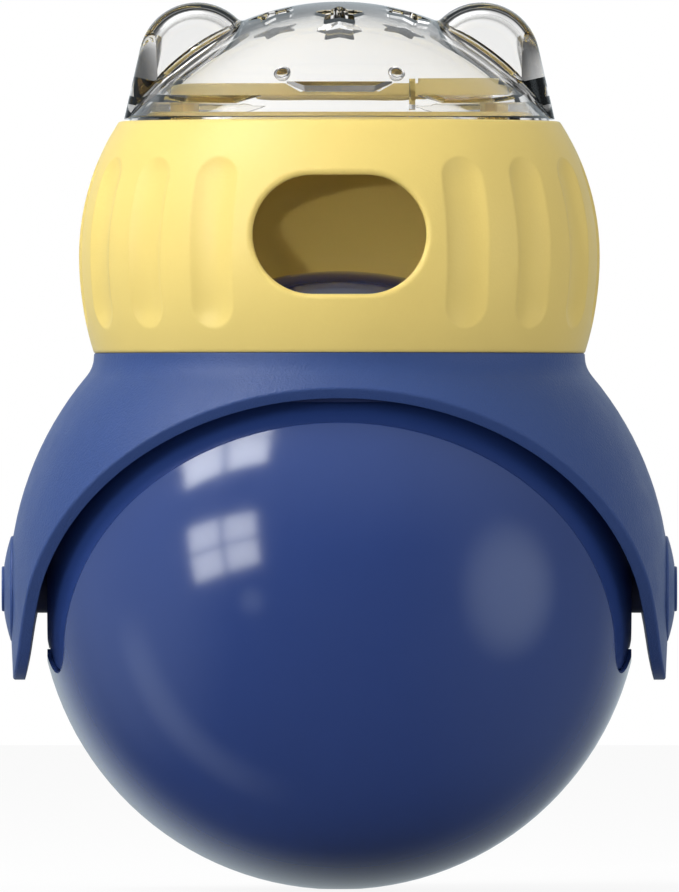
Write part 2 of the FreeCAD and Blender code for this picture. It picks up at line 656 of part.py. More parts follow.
def make_barrel_body():
    """Turned form of the barrel: spigot, bellied wall, shoulder, lip and mouth."""
    ceiling = SHOULDER_Z - BARREL_WALL
    spigot_low = math.sqrt(DECK_OUTER ** 2 - SPIGOT_OUTER ** 2)
    spigot_top = NECK_TOP_Z + BARREL_WALL
    wall_low = spigot_top + BARREL_WALL
    lower_mid = (NECK_TOP_Z + BELLY_Z) / 2
    upper_mid = (BELLY_Z + SHOULDER_Z) / 2
    foot = barrel_point(NECK_TOP_Z)
    belly = barrel_point(BELLY_Z)
    shoulder = barrel_point(SHOULDER_Z)
    after = [Vec(LIP_RADIUS, 0, SHOULDER_Z), Vec(LIP_RADIUS, 0, LIP_TOP_Z),
             Vec(MOUTH_OUTER, 0, LIP_TOP_Z), Vec(MOUTH_OUTER, 0, MOUTH_TOP_Z),
             Vec(MOUTH_RADIUS, 0, MOUTH_TOP_Z), Vec(MOUTH_RADIUS, 0, ceiling),
             barrel_point(ceiling, BARREL_WALL)]
    inner_belly = barrel_point(BELLY_Z, BARREL_WALL)
    inner_low = barrel_point(wall_low, BARREL_WALL)
    before = [inner_low, Vec(SPIGOT_INNER, 0, spigot_top), Vec(SPIGOT_INNER, 0, spigot_low),
              Vec(SPIGOT_OUTER, 0, spigot_low), Vec(SPIGOT_OUTER, 0, NECK_TOP_Z), foot]
    edges = [line(a, b) for a, b in zip(before, before[1:])]
    edges.append(arc(foot, barrel_point(lower_mid), belly))
    edges.append(arc(belly, barrel_point(upper_mid), shoulder))
    edges += [line(a, b) for a, b in zip([shoulder] + after, after)]
    edges.append(arc(after[-1], barrel_point(upper_mid, BARREL_WALL), inner_belly))
    edges.append(arc(inner_belly, barrel_point((wall_low + BELLY_Z) / 2, BARREL_WALL), inner_low))
    return turned(edges)


def make_flute_cutter():
    """Bent rod with ball ends that scoops one flute from the barrel's +X side."""
    low_z = FLUTE_LOW_Z + FLUTE_WIDTH / 2
    high_z = FLUTE_HIGH_Z - FLUTE_WIDTH / 2
    inward = Vec(FLUTE_DEPTH, 0, 0)
    floor = [barrel_point(z) - inward for z in (low_z, (low_z + high_z) / 2, high_z)]
    centre = arc(*floor).Curve.Center
    scoop = ((FLUTE_WIDTH / 2) ** 2 + FLUTE_DEPTH ** 2) / (2 * FLUTE_DEPTH)
    low_end, high_end = [centre + (p - centre) * (1 + scoop / (p - centre).Length)
                         for p in (floor[0], floor[-1])]
    bearing = [math.atan2(p.z - centre.z, p.x - centre.x) for p in (low_end, high_end)]
    tangent = (low_end - centre).cross(Vec(0, 1, 0))
    disc = Part.Face(Part.Wire(Part.Circle(low_end, tangent, scoop).toShape()))
    bent_rod = disc.revolve(centre, Vec(0, -1, 0), math.degrees(bearing[1] - bearing[0]))
    return bent_rod.fuse([Part.makeSphere(scoop, low_end), Part.makeSphere(scoop, high_end)])


def cut_flutes(barrel):
    cutter = make_flute_cutter()
    for index in range(FLUTE_COUNT):
        flute = cutter.copy()
        flute.rotate(Vec(0, 0, 0), Vec(0, 0, 1), -90 + FLUTE_FIRST_ANGLE + index * FLUTE_PITCH)
        barrel = barrel.cut(flute)
    return barrel


def window_prism(width, height, y_start, y_end):
    """Stadium-shaped solid through the front wall."""
    radius = height / 2
    half = width / 2 - radius
    low = WINDOW_Z - radius
    body = slab(-half, half, y_start, y_end, low, low + height)
    for x in (-half, half):
        end = Part.makeCylinder(radius, y_end - y_start, Vec(x, y_start, WINDOW_Z), Vec(0, 1, 0))
        body = body.fuse(end)
    return body.removeSplitter()


def in_window_wall(point):
    """True on the outer edge of the window."""
    outside = abs(radial_distance(point) - barrel_radius_at(point.z)) < ON_IT
    beside = abs(point.x) < WINDOW_WIDTH / 2 + ON_IT
    level = abs(point.z - WINDOW_Z) < WINDOW_HEIGHT / 2 + ON_IT
    return outside and beside and level and point.y < 0


def keystone(low_width, low_z, top_width, top_z, head_z, y_start, y_end):
    """Prism from front to back, wider at its top, with an upright head above it."""
    low = low_width / 2
    top = top_width / 2
    points = [Vec(-low, y_start, low_z), Vec(low, y_start, low_z), Vec(top, y_start, top_z),
              Vec(top, y_start, head_z), Vec(-top, y_start, head_z), Vec(-top, y_start, top_z)]
    return Part.Face(Part.Wire(closed_lines(points))).extrude(Vec(0, y_end - y_start, 0))


def notch_prism(gap, rise):
    """The mouth's notch in front, shrunk by a gap, up to a rise above the mouth."""
    return keystone(NOTCH_LOW_WIDTH - 2 * gap, MOUTH_TOP_Z - NOTCH_DEPTH + gap,
                    NOTCH_TOP_WIDTH - 2 * gap, MOUTH_TOP_Z, MOUTH_TOP_Z + rise,
                    -FAR, -MOUTH_RADIUS / 2)


def mouth_slot(side, height):
    """Slot below the mouth's rim, in front (-1) or behind (1)."""
    wide = FAR * math.tan(math.radians(MOUTH_SLOT_HALF_ANGLE))
    points = [Vec(0, 0, LIP_TOP_Z), Vec(wide, side * FAR, LIP_TOP_Z),
              Vec(-wide, side * FAR, LIP_TOP_Z)]
    wedge = Part.Face(Part.Wire(closed_lines(points))).extrude(Vec(0, 0, height))
    return wedge.cut(post(MOUTH_RADIUS / 2, 0, FAR))


def mouth_step():
    """Raised stretch of the mouth's rim beside the lid's rib, in front."""
    start = LID_RIB_X + LID_RIB_THICK
    end = MOUTH_OUTER * math.sin(math.radians(MOUTH_SLOT_HALF_ANGLE))
    ring = post(MOUTH_OUTER, MOUTH_TOP_Z - MOUTH_STEP_HEIGHT, MOUTH_TOP_Z + MOUTH_STEP_HEIGHT)
    ring = ring.cut(post(MOUTH_RADIUS, 0, FAR))
    return ring.common(slab(start, end, -FAR, 0, 0, FAR))


def make_barrel():
    barrel = make_barrel_body()
    barrel = barrel.makeFillet(SHOULDER_ROUND, circle_edges(barrel, SHOULDER_RADIUS, SHOULDER_Z))
    barrel = barrel.makeFillet(SEAM_ROUND, circle_edges(barrel, NECK_RADIUS, NECK_TOP_Z))
    barrel = barrel.cut(window_prism(WINDOW_WIDTH, WINDOW_HEIGHT, -FAR, -MOUTH_RADIUS))
    barrel = barrel.makeFillet(WINDOW_ROUND, edges_where(barrel, in_window_wall))
    barrel = cut_flutes(barrel)
    boss_top = DECK_PAD_TOP + BARREL_BOSS_HEIGHT
    for index, (x, y) in enumerate(deck_screw_places()):
        boss = post(SMALL_BOSS_RADIUS, DECK_PAD_TOP, boss_top, x, y)
        web_end = barrel_radius_at(DECK_PAD_TOP, BARREL_WALL / 2)
        web = slab(-BARREL_WEB_HALF_WIDTH, BARREL_WEB_HALF_WIDTH, DECK_SCREW_RING, web_end,
                   DECK_PAD_TOP, boss_top)
        web.rotate(Vec(0, 0, 0), Vec(0, 0, 1), -360.0 * index / DECK_SCREW_COUNT)
        barrel = barrel.fuse([boss, web])
        bore_top = DECK_PAD_TOP - DECK_SCREW_BED + DECK_SCREW_LENGTH + RUNNING_GAP
        barrel = barrel.cut(post(SMALL_SHANK_RADIUS + RUNNING_GAP, 0, bore_top, x, y))
    barrel = barrel.cut(ball(DECK_OUTER + SPIGOT_GAP))
    barrel = barrel.cut(mouth_slot(-1, MOUTH_SLOT_HEIGHT))
    barrel = barrel.cut(mouth_slot(1, MOUTH_SLOT_HEIGHT + MOUTH_BACK_SLOT_RISE))
    barrel = barrel.cut(notch_prism(0.0, FAR))
    return barrel.fuse(mouth_step()).removeSplitter()


def lid_ball(radius):
    """Ball on the lid's centre, cut off level with the barrel's shoulder."""
    whole = Part.makeSphere(radius, Vec(0, 0, LID_CENTRE_Z))
    return whole.common(slab(-FAR, FAR, -FAR, FAR, SHOULDER_Z, FAR))


def make_ear(inset, side):
    """Rounded ear, shrunk by an inset. Its root is buried in the dome."""
    centre = Vec(EAR_CENTRE_X, 0, EAR_CENTRE_Z)
    radius = EAR_RADIUS - inset
    foot = Vec(LID_RADIUS + EAR_FOOT_PROUD - inset, 0, LID_RIM_Z)
    offset = foot - centre
    touch_angle = math.atan2(offset.z, offset.x) + math.acos(radius / offset.Length)
    touch, crown, root_top = [
        centre + Vec(radius * math.cos(angle), 0, radius * math.sin(angle))
        for angle in (touch_angle, (touch_angle + math.pi) / 2, math.pi)]
    root_low = Vec(root_top.x, 0, LID_RIM_Z)
    half = EAR_HALF_DEPTH - inset
    edges = [line(root_low, foot), line(foot, touch), arc(touch, crown, root_top),
             line(root_top, root_low)]
    ear = Part.Face(Part.Wire(edges)).extrude(Vec(0, 2 * half, 0))
    ear.translate(Vec(0, -half, 0))
    outline = edges_where(ear, lambda p: abs(abs(p.y) - half) < ON_IT
                          and p.z > LID_RIM_Z + ON_IT and p.x > root_low.x + ON_IT)
    ear = ear.makeFillet(EAR_ROUND - inset, outline)
    return ear if side > 0 else mirrored(ear)


def ear_pocket(side):
    """Hollow of an ear, open to the inside of the dome, with an upright outer side."""
    reach = LID_RADIUS - EAR_POCKET_INSET
    room = slab(-reach, reach, -FAR, FAR, LID_RIM_Z + EAR_POCKET_RISE, FAR)
    return make_ear(EAR_WALL, side).common(room)


def star_prism(length):
    """Five-pointed star with softened tips, upright round the axis."""
    points = []
    for index in range(10):
        radius = STAR_RADIUS if index % 2 == 0 else STAR_WAIST_RADIUS
        angle = math.pi * index / 5
        points.append(Vec(radius * math.cos(angle), radius * math.sin(angle), 0))
    star = Part.Face(Part.Wire(closed_lines(points))).extrude(Vec(0, 0, length))
    uprights = edges_where(star, lambda p: ON_IT < p.z < length - ON_IT
                           and radial_distance(p) > STAR_RADIUS - ON_IT)
    return star.makeFillet(STAR_TIP_ROUND, uprights)


def cut_stars(lid):
    lean = math.degrees(math.asin(STAR_RING_RADIUS / LID_OUTER))
    for index in range(STAR_COUNT):
        star = star_prism(4 * LID_WALL)
        star.rotate(Vec(0, 0, 0), Vec(0, 0, 1), 180)
        star.translate(Vec(0, 0, LID_OUTER - 2 * LID_WALL))
        star.rotate(Vec(0, 0, 0), Vec(0, 1, 0), lean)
        star.translate(Vec(0, 0, LID_CENTRE_Z))
        star.rotate(Vec(0, 0, 0), Vec(0, 0, 1), -90 + 360.0 * index / STAR_COUNT)
        lid = lid.cut(star)
    return lid


def lid_lug():
    """Keystone in front that sits in the mouth's notch and keeps the lid from turning."""
    return notch_prism(LID_GAP, LID_LUG_RISE).cut(post(MOUTH_RADIUS, 0, FAR))


def lid_rib():
    """Upright rib beside the step of the mouth's rim."""
    rib = slab(LID_RIB_X - LID_RIB_THICK / 2, LID_RIB_X + LID_RIB_THICK / 2, -FAR, 0,
               LIP_TOP_Z + LID_GAP, FAR)
    return rib.cut(post(LID_RUN_RADIUS, 0, FAR))


def lid_ledges():
    """Ledges that centre the lid on the mouth, with sloping ends in front and behind."""
    low = SLOT_TOP_Z - LID_LEDGE_THICK
    ring = post(LID_RADIUS, low, SLOT_TOP_Z).cut(post(LID_RUN_RADIUS, 0, FAR))
    return ring.cut(keystone(LID_LEDGE_OPEN_TOP, SLOT_TOP_Z, LID_LEDGE_OPEN_LOW, low, 0.0, -FAR, FAR))


def lid_pips():
    """Two small round pips inside the dome, above the mouth's rim."""
    z = MOUTH_TOP_Z + LID_PIP_RISE
    ring = math.sqrt(LID_INNER ** 2 - (z - LID_CENTRE_Z) ** 2)
    y = -math.sqrt(ring ** 2 - LID_PIP_X ** 2)
    return [Part.makeSphere(LID_PIP_RADIUS, Vec(x, y, z)) for x in (-LID_PIP_X, LID_PIP_X)]


def make_lid():
    outer = lid_ball(LID_OUTER).fuse([make_ear(0.0, 1), make_ear(0.0, -1)])
    centre = Vec(0, 0, LID_CENTRE_Z)
    roots = edges_where(outer, lambda p: abs((p - centre).Length - LID_OUTER) < ON_IT
                        and abs(p.y) < EAR_HALF_DEPTH + ON_IT and p.z > LID_RIM_Z + ON_IT)
    outer = outer.makeFillet(EAR_BLEND, roots)
    inner = lid_ball(LID_INNER).fuse([ear_pocket(1), ear_pocket(-1)])
    lid = outer.cut(inner)
    seam = post(FAR, 0, LID_RIM_Z).cut(post(LID_RADIUS - LID_SEAM_DEPTH, 0, FAR))
    lid = lid.cut(seam)
    fittings = [lid_lug(), lid_rib(), lid_ledges()] + lid_pips()
    fittings = [piece.common(lid_ball(LID_OUTER - LID_WALL / 2)) for piece in fittings]
    return cut_stars(lid.fuse(fittings).removeSplitter())


def save(name, shape):
    """Stand the piece on the floor, test it and write it."""
    placed = shape.copy()
    placed.translate(Vec(0, 0, -FLOOR_Z))
    if not placed.isValid() or not placed.Solids:
        raise ValueError(name + " is not a valid solid")
    placed.exportStep("parts/" + name + ".step")
    print("%-24s solids %d  volume %10.2f mm3" % (name, len(placed.Solids), placed.Volume))


def save_pair(name, shape):
    save(name + "_right", shape)
    save(name + "_left", mirrored(shape))


def main():
    os.makedirs("parts", exist_ok=True)
    save("ball_bowl", make_ball_bowl())
    save("ball_cap", make_ball_cap())
    save("ball_screws", make_ball_screws())
    save("ballast", make_ballast())
    save("ballast_retainer", make_ballast_retainer())
    save("ballast_screw", make_ballast_screw())
    save("hood", make_hood())
    save("treat_deck", make_treat_deck())
    save("deck_screws", make_deck_screws())
    save("barrel", make_barrel())
    save("lid", make_lid())
    save_pair("pivot_axle", make_pivot_axle())
    save_pair("friction_washer", make_friction_washer())
    save_pair("stop_washer", make_stop_washer())
    save_pair("axle_screw", make_axle_screw())
    save_pair("pivot_cap", make_pivot_cap())


main()
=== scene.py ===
import json
import math

import bmesh
import bpy
from mathutils import Matrix, Vector


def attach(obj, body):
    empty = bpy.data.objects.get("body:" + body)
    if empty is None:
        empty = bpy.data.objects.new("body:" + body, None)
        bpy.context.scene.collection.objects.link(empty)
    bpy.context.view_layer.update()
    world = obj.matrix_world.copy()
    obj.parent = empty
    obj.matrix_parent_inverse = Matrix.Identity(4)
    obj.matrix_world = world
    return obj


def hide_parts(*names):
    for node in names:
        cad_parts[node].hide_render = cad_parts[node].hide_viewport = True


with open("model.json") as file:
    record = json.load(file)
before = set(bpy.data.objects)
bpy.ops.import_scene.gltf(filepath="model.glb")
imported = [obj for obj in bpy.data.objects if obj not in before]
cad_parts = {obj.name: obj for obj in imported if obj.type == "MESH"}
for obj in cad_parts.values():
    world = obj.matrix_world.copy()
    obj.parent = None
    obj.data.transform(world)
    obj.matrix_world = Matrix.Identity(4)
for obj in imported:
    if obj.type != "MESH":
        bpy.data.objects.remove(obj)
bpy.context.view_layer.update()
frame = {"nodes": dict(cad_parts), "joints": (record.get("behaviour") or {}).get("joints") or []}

MM = 0.001
SIDES = ("left", "right")
WHITE = (1, 1, 1, 1)
NODES = frame["nodes"]

# The pivot's height comes from the joint, and is the height of the ball's centre
PIVOT_Z = next(joint["pos_m"][2] for joint in frame["joints"] if joint["name"] == "head_tilt")
BALL_CENTRE = Vector((0, 0, PIVOT_Z))


# Nodes of materials, world and lamps

def connect(tree, value, socket):
    """Link another node's output to a socket, or set a plain value there."""
    if isinstance(value, bpy.types.NodeSocket):
        tree.links.new(value, socket)
    elif value is not None:
        socket.default_value = value


def calculate(tree, operation, first, second=None, third=None):
    """Math node on outputs or plain numbers."""
    node = tree.nodes.new("ShaderNodeMath")
    node.operation = operation
    for socket, value in zip(node.inputs, (first, second, third)):
        connect(tree, value, socket)
    return node.outputs["Value"]


def remap(tree, value, low, high, out_low, out_high, kind="LINEAR"):
    """Take a value between low and high to one between two others."""
    node = tree.nodes.new("ShaderNodeMapRange")
    node.interpolation_type = kind
    node.inputs["From Min"].default_value = low
    node.inputs["From Max"].default_value = high
    node.inputs["To Min"].default_value = out_low
    node.inputs["To Max"].default_value = out_high
    tree.links.new(value, node.inputs["Value"])
    return node.outputs["Result"]


def smooth_step(tree, value, low, high, out_low, out_high):
    return remap(tree, value, low, high, out_low, out_high, "SMOOTHSTEP")


def mix(tree, factor, first, second, kind="FLOAT"):
    """Blend from the first of two numbers or colours to the second."""
    node = tree.nodes.new("ShaderNodeMix")
    node.data_type = kind
    connect(tree, factor, node.inputs["Factor"])
    connect(tree, first, node.inputs["A"])
    connect(tree, second, node.inputs["B"])
    return node.outputs["Result"]


# Materials

NOISE_LOW = 0.3
NOISE_HIGH = 0.7
BEVEL_SAMPLES = 6

PLASTIC_COLOUR_SCALE = 60.0
PLASTIC_GLOSS_SCALE = 240.0
PLASTIC_RIPPLE_SCALE = 90.0
PLASTIC_GRAIN_SCALE = 2600.0

METAL_COLOUR_SPREAD = 0.06
METAL_COLOUR_SCALE = 300.0
METAL_GLOSS_SCALE = 900.0
METAL_MARK_SCALE = 1800.0
METAL_MARK_STRENGTH = 0.4
METAL_MARK_HEIGHT = 0.00002

CLEAR_COLOUR = (0.985, 0.985, 0.98, 1)
CLEAR_INDEX = 1.5
CLEAR_ROUGHEST = 0.012
CLEAR_GLOSS_SCALE = 300.0
CLEAR_RIPPLE_SCALE = 70.0
CLEAR_RIPPLE_HEIGHT = 0.00001


def new_material(name):
    """A material, its node tree and its main shader."""
    material = bpy.data.materials.new(name)
    material.use_nodes = True
    tree = material.node_tree
    return material, tree, tree.nodes["Principled BSDF"]


def noise(tree, scale, detail=2.0, roughness=0.5):
    """Noise that stays with the object."""
    node = tree.nodes.new("ShaderNodeTexNoise")
    node.inputs["Scale"].default_value = scale
    node.inputs["Detail"].default_value = detail
    node.inputs["Roughness"].default_value = roughness
    coordinates = tree.nodes.new("ShaderNodeTexCoord")
    tree.links.new(coordinates.outputs["Object"], node.inputs["Vector"])
    return node.outputs["Fac"]


def varied_colour(tree, shader, colour, spread, scale):
    """Base colour that drifts slightly over the surface."""
    ramp = tree.nodes.new("ShaderNodeValToRGB")
    dark, light = ramp.color_ramp.elements
    dark.position = NOISE_LOW
    light.position = NOISE_HIGH
    dark.color = [c * (1 - spread) for c in colour] + [1]
    light.color = [c * (1 + spread) for c in colour] + [1]
    tree.links.new(noise(tree, scale, detail=3.0), ramp.inputs["Fac"])
    tree.links.new(ramp.outputs["Color"], shader.inputs["Base Color"])


def varied_gloss(tree, shader, low, high, scale, detail):
    """Roughness that drifts between two values."""
    rough = remap(tree, noise(tree, scale, detail), NOISE_LOW, NOISE_HIGH, low, high)
    tree.links.new(rough, shader.inputs["Roughness"])


def soft_edges(tree, shader, radius):
    """Normals that turn smoothly over sharp edges, so that they catch the light."""
    node = tree.nodes.new("ShaderNodeBevel")
    node.samples = BEVEL_SAMPLES
    node.inputs["Radius"].default_value = radius
    tree.links.new(node.outputs["Normal"], shader.inputs["Normal"])
    return node.outputs["Normal"]


def bump(tree, shader, height, distance, strength=1.0, below=None):
    """Bump on the shader, over the normals of another node where one is given."""
    node = tree.nodes.new("ShaderNodeBump")
    node.inputs["Strength"].default_value = strength
    node.inputs["Distance"].default_value = distance
    tree.links.new(height, node.inputs["Height"])
    if below is not None:
        tree.links.new(below, node.inputs["Normal"])
    tree.links.new(node.outputs["Normal"], shader.inputs["Normal"])
    return node.outputs["Normal"]


def moulded_plastic(name, colour, rough_low, rough_high, spread=0.03, grain=0.0,
                    grain_scale=PLASTIC_GRAIN_SCALE, ripple=0.0, specular=0.5,
                    coat=0.0, coat_rough=0.03, edge=0.0):
    """Moulded plastic: drifting colour, uneven gloss, mould ripple and texture grain."""
    material, tree, shader = new_material(name)
    varied_colour(tree, shader, colour, spread, PLASTIC_COLOUR_SCALE)
    varied_gloss(tree, shader, rough_low, rough_high, PLASTIC_GLOSS_SCALE, detail=4.0)
    shader.inputs["Specular IOR Level"].default_value = specular
    shader.inputs["Coat Weight"].default_value = coat
    shader.inputs["Coat Roughness"].default_value = coat_rough
    below = soft_edges(tree, shader, edge) if edge else None
    if ripple:
        waves = noise(tree, PLASTIC_RIPPLE_SCALE, detail=1.0)
        below = bump(tree, shader, waves, ripple, below=below)
    if grain:
        bump(tree, shader, noise(tree, grain_scale, roughness=0.6), grain, below=below)
    return material


def metal(name, colour, rough_low, rough_high):
    """Turned or plated metal with fine marks."""
    material, tree, shader = new_material(name)
    varied_colour(tree, shader, colour, METAL_COLOUR_SPREAD, METAL_COLOUR_SCALE)
    varied_gloss(tree, shader, rough_low, rough_high, METAL_GLOSS_SCALE, detail=3.0)
    shader.inputs["Metallic"].default_value = 1.0
    bump(tree, shader, noise(tree, METAL_MARK_SCALE), METAL_MARK_HEIGHT, METAL_MARK_STRENGTH)
    return material


def clear_plastic(name):
    """Clear polished plastic with a trace of mould ripple."""
    material, tree, shader = new_material(name)
    shader.inputs["Base Color"].default_value = CLEAR_COLOUR
    shader.inputs["Transmission Weight"].default_value = 1.0
    shader.inputs["IOR"].default_value = CLEAR_INDEX
    varied_gloss(tree, shader, 0.0, CLEAR_ROUGHEST, CLEAR_GLOSS_SCALE, detail=2.0)
    bump(tree, shader, noise(tree, CLEAR_RIPPLE_SCALE, detail=1.0), CLEAR_RIPPLE_HEIGHT)
    return material


BALL_GLOSS = moulded_plastic("ball gloss", (0.029, 0.060, 0.225), 0.13, 0.17, spread=0.02,
                             ripple=0.00001, coat=0.7, coat_rough=0.12)
BALL_SATIN = moulded_plastic("ball satin", (0.025, 0.058, 0.230), 0.28, 0.34, spread=0.02,
                             grain=0.00001)
HOOD_MATT = moulded_plastic("hood matt", (0.038, 0.080, 0.255), 0.36, 0.44, grain=0.00009,
                            grain_scale=3400.0, specular=0.4, edge=0.0002)
DECK_GLOSS = moulded_plastic("deck gloss", (0.030, 0.045, 0.140), 0.08, 0.12, spread=0.02,
                             ripple=0.00001, specular=0.16)
BARREL_YELLOW = moulded_plastic("barrel yellow", (0.86, 0.665, 0.200), 0.36, 0.43, spread=0.02,
                                grain=0.00002, ripple=0.00002, specular=0.4, edge=0.0007)
INNER_PLASTIC = moulded_plastic("inner plastic", (0.03, 0.04, 0.12), 0.45, 0.55, grain=0.00002)
RUBBER = moulded_plastic("washer rubber", (0.02, 0.02, 0.02), 0.75, 0.85, spread=0.1,
                         grain=0.00004)
STEEL = metal("zinc steel", (0.62, 0.62, 0.63), 0.25, 0.38)
BALLAST_STEEL = metal("ballast steel", (0.42, 0.42, 0.42), 0.38, 0.5)
CLEAR = clear_plastic("clear plastic")

NODE_MATERIALS = {
    "ball_bowl": BALL_GLOSS,
    "ball_cap": BALL_SATIN,
    "hood": HOOD_MATT,
    "treat_deck": DECK_GLOSS,
    "barrel": BARREL_YELLOW,
    "lid": CLEAR,
    "ballast": BALLAST_STEEL,
    "ballast_retainer": INNER_PLASTIC,
    "ball_screws": STEEL,
    "ballast_screw": STEEL,
    "deck_screws": STEEL,
}
for side in SIDES:
    NODE_MATERIALS["pivot_axle_" + side] = INNER_PLASTIC
    NODE_MATERIALS["friction_washer_" + side] = RUBBER
    NODE_MATERIALS["stop_washer_" + side] = STEEL
    NODE_MATERIALS["axle_screw_" + side] = STEEL
    NODE_MATERIALS["pivot_cap_" + side] = HOOD_MATT

for node_name, node_material in NODE_MATERIALS.items():
    NODES[node_name].data.materials.clear()
    NODES[node_name].data.materials.append(node_material)


# Screws with a domed head, a cross recess and a thread

SCREW_SEGMENTS = 40
SAME_CORNER = 0.000001
SHARP_DEGREES = 35

# Shares of the head's radius and of its height, from the top of the dome down
DOME_PROFILE = ((0.0, 0.0), (0.50, 0.04), (0.78, 0.16), (0.94, 0.36), (1.0, 0.62), (1.0, 0.94),
                (0.97, 1.0))

# Corners past this share of the head's radius are on the head
HEAD_EDGE = 0.9

# The shank is measured below this share of its length
SHANK_START = 0.3

# The groove's radius and the tip's are shares of the shank's, its start and end of the pitch
THREAD_PITCH = 0.5 * MM
GROOVE_RADIUS = 0.84
GROOVE_START = 0.4
GROOVE_END = 0.6
TIP_RADIUS = 0.6

# The reach and half width of the recess are shares of the head's radius, its depth of the height
CROSS_REACH = 0.58
CROSS_HALF_WIDTH = 0.13
CROSS_DEPTH = 0.75
CROSS_TAPER = 0.7


def separate_solids(mesh):
    """Corners of each solid in a mesh, in the same order each time."""
    shape = bmesh.new()
    shape.from_mesh(mesh)
    bmesh.ops.remove_doubles(shape, verts=shape.verts[:], dist=SAME_CORNER)
    reached = set()
    solids = []
    for start in shape.verts:
        if start in reached:
            continue
        reached.add(start)
        waiting = [start]
        corners = []
        while waiting:
            vert = waiting.pop()
            corners.append(vert.co.copy())
            for edge in vert.link_edges:
                other = edge.other_vert(vert)
                if other not in reached:
                    reached.add(other)
                    waiting.append(other)
        solids.append(corners)
    shape.free()
    return solids


def measure_screw(corners, outward):
    """Frame at the centre of the head's top, and the sizes of a plain screw."""
    turn = outward.to_track_quat("Z", "Y").to_matrix()
    flat = [turn.transposed() @ corner for corner in corners]
    lows = [min(p[i] for p in flat) for i in range(3)]
    highs = [max(p[i] for p in flat) for i in range(3)]
    middle = Vector(((lows[0] + highs[0]) / 2, (lows[1] + highs[1]) / 2, highs[2]))
    local = [p - middle for p in flat]
    length = highs[2] - lows[2]
    head = max(math.hypot(p.x, p.y) for p in local)
    head_height = max(-p.z for p in local if math.hypot(p.x, p.y) > HEAD_EDGE * head)
    shank_top = -head_height - SHANK_START * (length - head_height)
    shank = max(math.hypot(p.x, p.y) for p in local if p.z < shank_top)
    place = Matrix.Translation(turn @ middle) @ turn.to_4x4()
    return place, head, head_height, shank, length


def screw_outline(head, head_height, shank, length):
    """Radius and height of the turned screw, from the head's top down to its tip."""
    outline = [(radius * head, -height * head_height) for radius, height in DOME_PROFILE]
    outline.append((shank, -head_height))
    z = -head_height - THREAD_PITCH / 2
    while z - THREAD_PITCH > -length:
        outline.append((shank, z))
        outline.append((GROOVE_RADIUS * shank, z - GROOVE_START * THREAD_PITCH))
        outline.append((GROOVE_RADIUS * shank, z - GROOVE_END * THREAD_PITCH))
        z -= THREAD_PITCH
    return outline + [(shank, z), (TIP_RADIUS * shank, -length), (0.0, -length)]


def add_turned(shape, outline, place):
    """Faces that turn an outline round the screw's axis."""
    angles = [2 * math.pi * i / SCREW_SEGMENTS for i in range(SCREW_SEGMENTS)]
    rings = []
    for radius, z in outline:
        points = [Vector((radius * math.cos(a), radius * math.sin(a), z)) for a in angles]
        if radius == 0.0:
            points = [Vector((0, 0, z))]
        rings.append([shape.verts.new(place @ point) for point in points])
    for upper, lower in zip(rings, rings[1:]):
        for i in range(SCREW_SEGMENTS):
            j = (i + 1) % SCREW_SEGMENTS
            corners = [upper[i % len(upper)], lower[i % len(lower)]]
            corners += [lower[j % len(lower)], upper[j % len(upper)]]
            shape.faces.new(list(dict.fromkeys(corners)))


def add_cross(shape, reach, half_width, depth, place):
    """Tapered prism with a cross outline that cuts the recess."""
    quarter = [(half_width, -reach), (half_width, -half_width), (reach, -half_width)]
    outline = []
    for turn in range(4):
        for x, y in quarter:
            for _ in range(turn):
                x, y = -y, x
            outline.append((x, y))
    low = [shape.verts.new(place @ Vector((x * CROSS_TAPER, y * CROSS_TAPER, -depth)))
           for x, y in outline]
    high = [shape.verts.new(place @ Vector((x, y, depth))) for x, y in outline]
    shape.faces.new(low[::-1])
    shape.faces.new(high)
    for i in range(len(low)):
        j = (i + 1) % len(low)
        shape.faces.new((low[i], low[j], high[j], high[i]))


def mesh_object(name, shape):
    """Object in the scene from a shape that is then given up."""
    bmesh.ops.recalc_face_normals(shape, faces=shape.faces[:])
    mesh = bpy.data.meshes.new(name)
    shape.to_mesh(mesh)
    shape.free()
    made = bpy.data.objects.new(name, mesh)
    bpy.context.scene.collection.objects.link(made)
    return made


def cut_away(piece, cutter):
    """Mesh of a piece without what lies in the cutter, which is removed."""
    cut = piece.modifiers.new("recess", "BOOLEAN")
    cut.operation = "DIFFERENCE"
    cut.object = cutter
    bpy.context.view_layer.update()
    evaluated = piece.evaluated_get(bpy.context.evaluated_depsgraph_get())
    done = bpy.data.meshes.new_from_object(evaluated)
    piece.modifiers.clear()
    piece.data = done
    bpy.data.objects.remove(cutter)
    return done


def detail_screws(node_name, body, outward_at):
    """Turned screws with a recess, in the place of a node's plain ones."""
    screws = bmesh.new()
    crosses = bmesh.new()
    for corners in separate_solids(NODES[node_name].data):
        centre = sum(corners, Vector()) / len(corners)
        place, head, head_height, shank, length = measure_screw(corners, outward_at(centre))
        add_turned(screws, screw_outline(head, head_height, shank, length), place)
        add_cross(crosses, CROSS_REACH * head, CROSS_HALF_WIDTH * head,
                  CROSS_DEPTH * head_height, place)
    piece = mesh_object(node_name + "_detail", screws)
    mesh = cut_away(piece, mesh_object(node_name + "_cutter", crosses))
    mesh.shade_smooth()
    mesh.set_sharp_from_angle(angle=math.radians(SHARP_DEGREES))
    mesh.materials.clear()
    mesh.materials.append(STEEL)
    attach(piece, body)
    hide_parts(node_name)


def out_of_ball(centre):
    return (centre - BALL_CENTRE).normalized()


def towards_middle(centre):
    return Vector((-math.copysign(1, centre.x), 0, 0))


